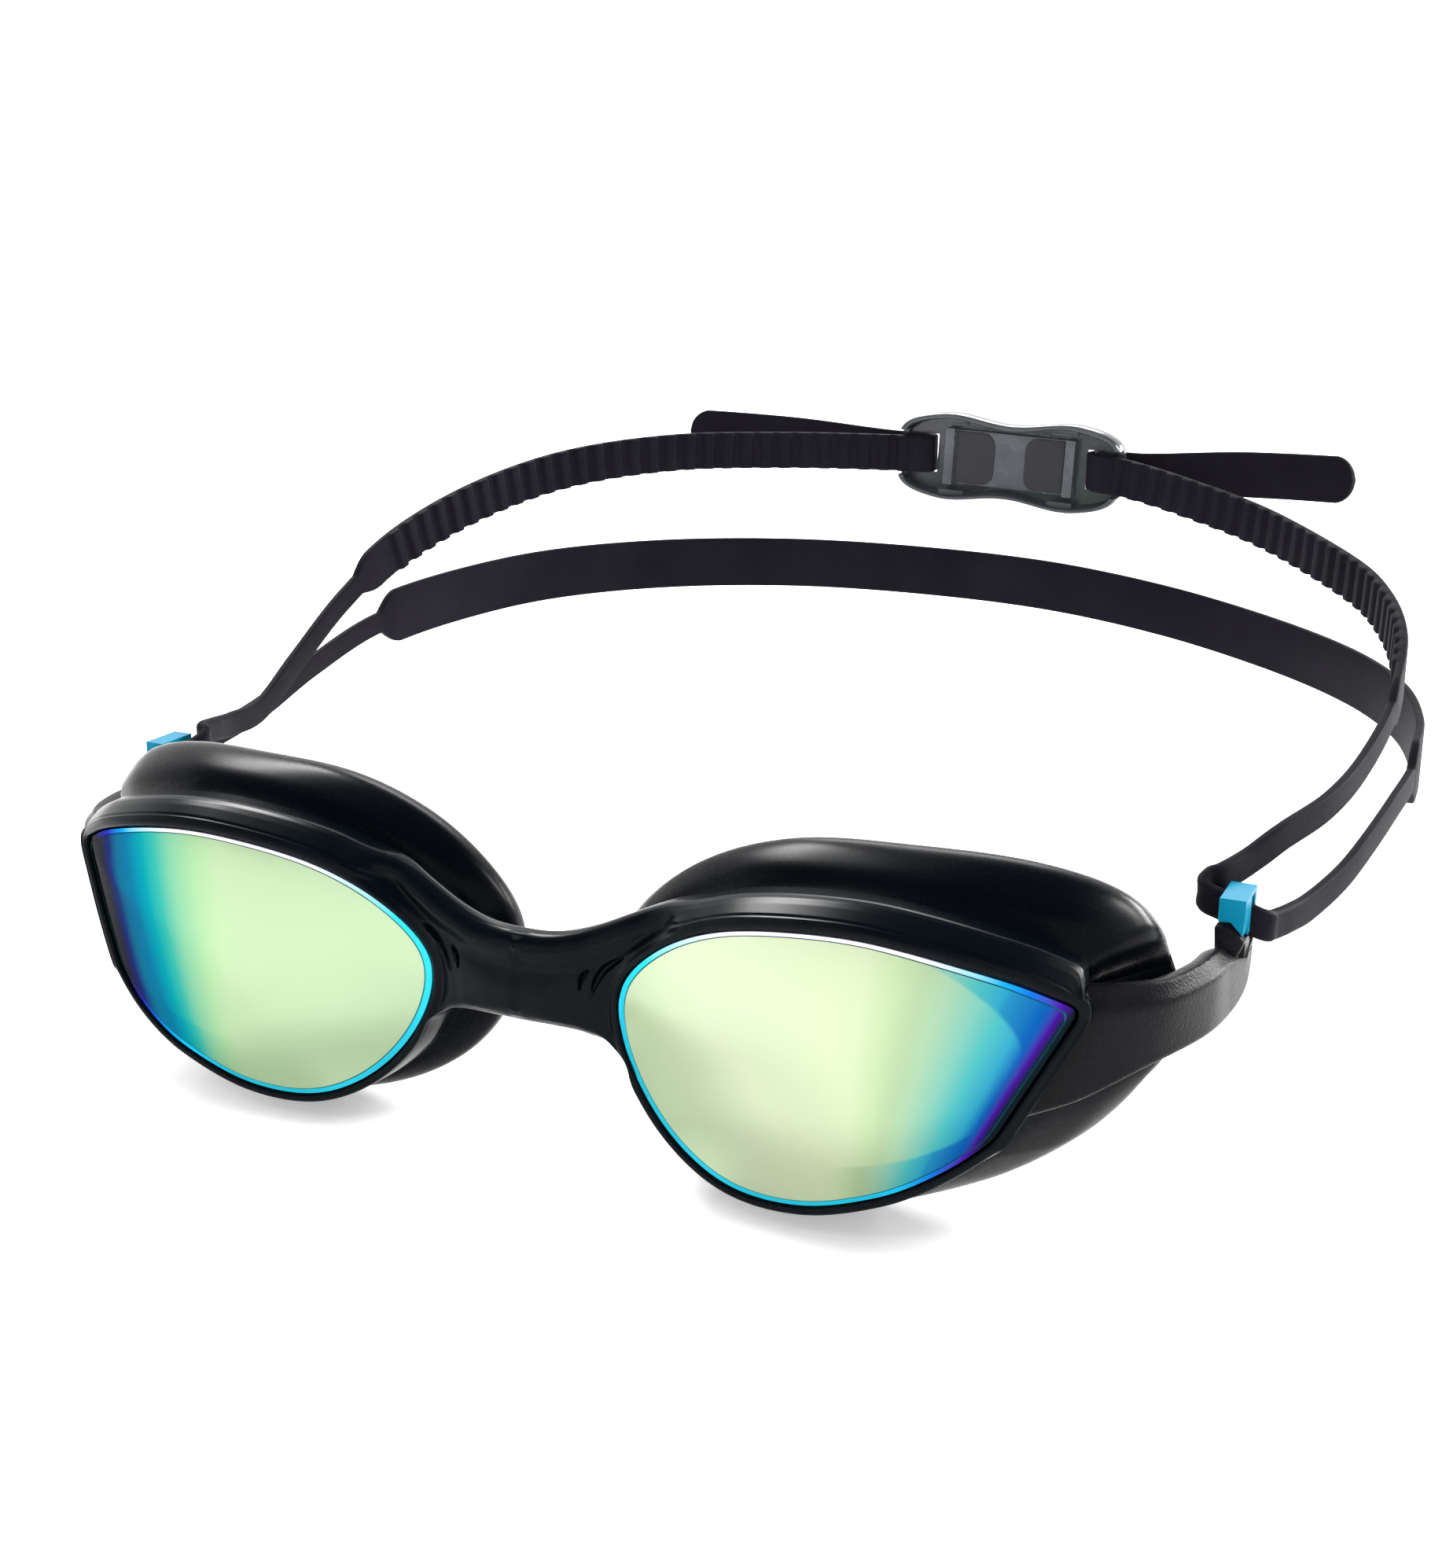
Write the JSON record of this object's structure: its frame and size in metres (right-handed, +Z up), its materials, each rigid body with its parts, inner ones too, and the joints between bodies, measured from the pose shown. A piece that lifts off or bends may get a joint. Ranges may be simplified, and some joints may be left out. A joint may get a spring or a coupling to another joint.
{
  "type": "swim goggles",
  "caption": "Swim goggles with curved mirror lenses, a soft nose bridge, face seals, hard temple arms with strap clips, and a split head strap with a rear buckle.",
  "frame": {"origin": "middle of the object's box in X and Y, at the height of its lowest point, which is the bottom of the lower head strap or of the face seals", "axes": "+X towards the wearer's left temple, which is the viewer's right; +Y from the lenses back to the buckle; +Z up"},
  "size_m": [0.2081, 0.232, 0.0825],
  "materials": {
    "lens": "green to violet mirror coating, partly see-through",
    "frame": "fine spark-eroded grain",
    "skin": "glossy black",
    "seal": "satin black",
    "strap": "matte black",
    "clip": "satin blue",
    "buckle": "smoke tinted"
  },
  "bodies": {
    "front": {"frame_left": "frame", "frame_right": "frame", "front_skin": "skin", "lens_left": "lens", "lens_right": "lens", "seal_left": "seal", "seal_right": "seal", "strap_clip_left": "clip", "strap_clip_right": "clip", "strap_loop_left": "strap", "strap_loop_right": "strap"},
    "upper_strap": {"upper_strap_left": "strap", "upper_strap_right": "strap", "strap_fold_left": "strap", "strap_fold_right": "strap", "buckle_shell": "buckle", "buckle_plate": "buckle"},
    "lower_strap": {"lower_strap": "strap"},
    "tail_left": {"strap_tail_left": "strap"},
    "tail_right": {"strap_tail_right": "strap"}
  },
  "joints": [
    {"name": "upper_strap_swing", "type": "hinge", "parent": "front", "child": "upper_strap", "pos_m": [0, -0.06408, 0.04297], "axis": [1, 0, 0], "range_deg": [0, 35], "stiffness_Nm_per_rad": 0.9},
    {"name": "lower_strap_swing", "type": "hinge", "parent": "front", "child": "lower_strap", "pos_m": [0, -0.06408, 0.03617], "axis": [1, 0, 0], "range_deg": [-12, 0], "stiffness_Nm_per_rad": 0.9},
    {"name": "tail_left_slide", "type": "slide", "parent": "upper_strap", "child": "tail_left", "axis": [-0.9792, -0.2, 0.035], "range_m": [0, 0.015]},
    {"name": "tail_right_slide", "type": "slide", "parent": "upper_strap", "child": "tail_right", "axis": [0.9792, -0.2, 0.035], "range_m": [0, 0.015]}
  ]
}
